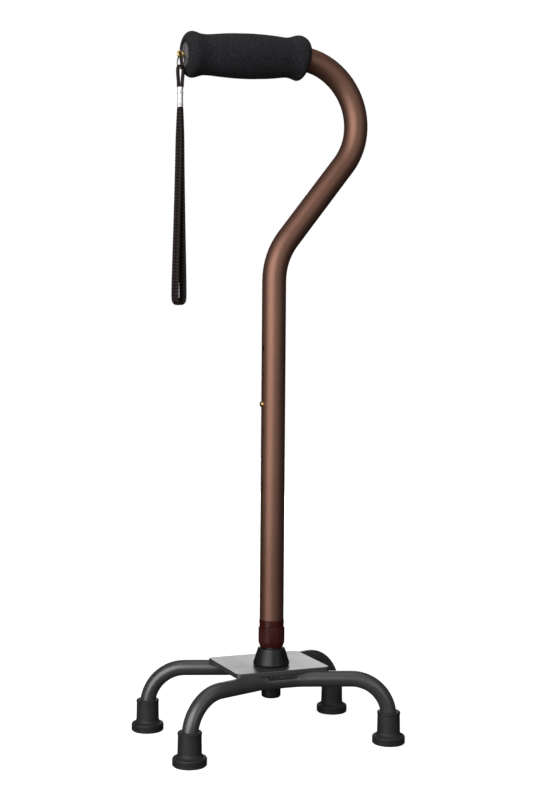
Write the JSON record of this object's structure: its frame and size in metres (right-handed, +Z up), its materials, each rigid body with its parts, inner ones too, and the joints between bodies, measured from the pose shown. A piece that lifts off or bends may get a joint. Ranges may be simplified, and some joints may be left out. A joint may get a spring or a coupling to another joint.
{
  "type": "quad walking cane",
  "caption": "Height-adjustable offset walking cane: foam grip on a swan-neck bronze tube, wrist strap, locking collar and a small black base with rubber-tipped legs.",
  "frame": {"origin": "on the floor, at the centre of the rectangle of the four feet", "axes": "+Z up along the shaft, +X from the grip's free end towards the swan neck, +Y towards the rear pair of feet"},
  "size_m": [0.2232, 0.151, 0.6505],
  "materials": {
    "bronze_tube": "satin bronze anodising over aluminium tube",
    "grip_foam": "matt closed-cell foam",
    "grey_plastic": "matt grey",
    "brass": "turned brass, satin",
    "bright_steel": "bright plated",
    "black_cord": "black woven braid with a fine chevron",
    "brown_plastic": "glossy dark reddish brown",
    "plain_aluminium": "clear anodised, satin",
    "black_plastic": "satin black moulding",
    "spring_steel": "blue-grey hardened strip",
    "black_enamel": "gloss black powder coat",
    "black_rubber": "matt moulded rubber",
    "zinc_steel": "zinc plated"
  },
  "bodies": {
    "base": {"stem_tube": "plain_aluminium", "stem_top_bush": "black_plastic", "spring_clip": "spring_steel", "stem_boot": "black_plastic", "base_plate": "black_enamel", "stem_weld": "black_enamel", "stem_foot_cap": "black_plastic", "front_leg_tube": "black_enamel", "rear_leg_tube": "black_enamel", "front_weld": "black_enamel", "rear_weld": "black_enamel", "ferrule_front_left": "black_rubber", "ferrule_front_right": "black_rubber", "ferrule_rear_left": "black_rubber", "ferrule_rear_right": "black_rubber", "ferrule_washers": "zinc_steel"},
    "upper": {"upper_tube": "bronze_tube", "foam_grip": "grip_foam", "handle_end_plug": "grey_plastic", "strap_screw_eye": "brass", "collar_bush": "brown_plastic"},
    "collar": {"lock_collar": "brown_plastic"},
    "button": {"snap_button": "brass"},
    "ring": {"strap_ring": "bright_steel"},
    "strap": {"strap_cord_loop": "black_cord", "strap_crimp": "bright_steel", "wrist_strap": "black_cord"}
  },
  "joints": [
    {"name": "height_slide", "type": "slide", "parent": "base", "child": "upper", "axis": [0, 0, 1], "range_m": [0, 0.1524]},
    {"name": "button_press", "type": "slide", "parent": "base", "child": "button", "axis": [1, 0, 0], "range_m": [0, 0.0035], "stiffness_N_per_m": 900, "springref_m": -0.003, "deforming": ["spring_clip"]},
    {"name": "collar_turn", "type": "hinge", "parent": "upper", "child": "collar", "pos_m": [0, -0.011, 0.0955], "axis": [0, 0, 1], "range_deg": [0, 180]},
    {"name": "ring_swing", "type": "hinge", "parent": "upper", "child": "ring", "pos_m": [-0.09219, -0.011, 0.62206], "axis": [0, 1, 0], "range_deg": [0, 90]},
    {"name": "strap_swing", "type": "hinge", "parent": "ring", "child": "strap", "pos_m": [-0.09219, -0.011, 0.61545], "axis": [0.9925, 0.1219, 0], "range_deg": [-18, 35]}
  ]
}
